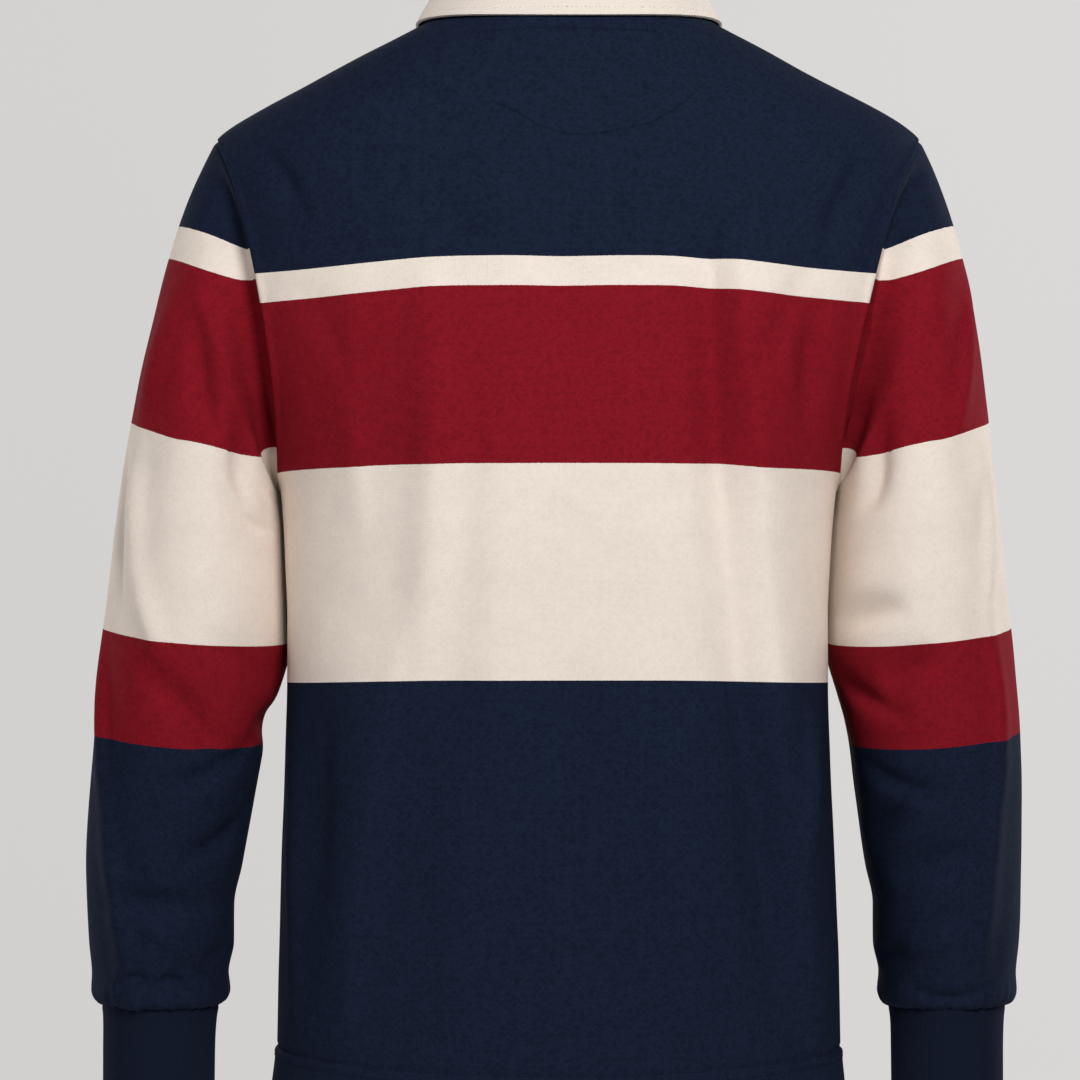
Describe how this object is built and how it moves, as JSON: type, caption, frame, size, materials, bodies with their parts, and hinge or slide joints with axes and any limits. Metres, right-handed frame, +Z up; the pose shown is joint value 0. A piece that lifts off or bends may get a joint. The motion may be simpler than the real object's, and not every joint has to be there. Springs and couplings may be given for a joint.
{
  "type": "rugby shirt",
  "caption": "Long-sleeved rugby shirt with wide colour bands, a folded twill collar, a buttoned placket and rib cuffs, filled out as if worn, with nobody in it.",
  "frame": {"origin": "centre of the neck opening, where the wearer's neck and shoulders hold the shirt", "axes": "+Z up, +Y towards the back of the shirt, +X towards the wearer's left"},
  "size_m": [0.6195, 0.2431, 0.7583],
  "materials": {
    "band_jersey": "heavy cotton jersey knitted in navy, burgundy and cream bands, matt",
    "rib": "navy knitted rib, matt",
    "collar_twill": "cream cotton twill, matt",
    "button": "cream, slightly glossy"
  },
  "bodies": {
    "root": {"back": "band_jersey", "front": "band_jersey", "sleeve_cap_left": "band_jersey", "sleeve_left": "band_jersey", "sleeve_cap_right": "band_jersey", "sleeve_right": "band_jersey", "cuff_left": "rib", "cuff_right": "rib", "collar": "collar_twill", "placket_upper": "collar_twill", "placket_under": "collar_twill", "button_1": "button", "button_2": "button", "button_3": "button"}
  },
  "joints": []
}
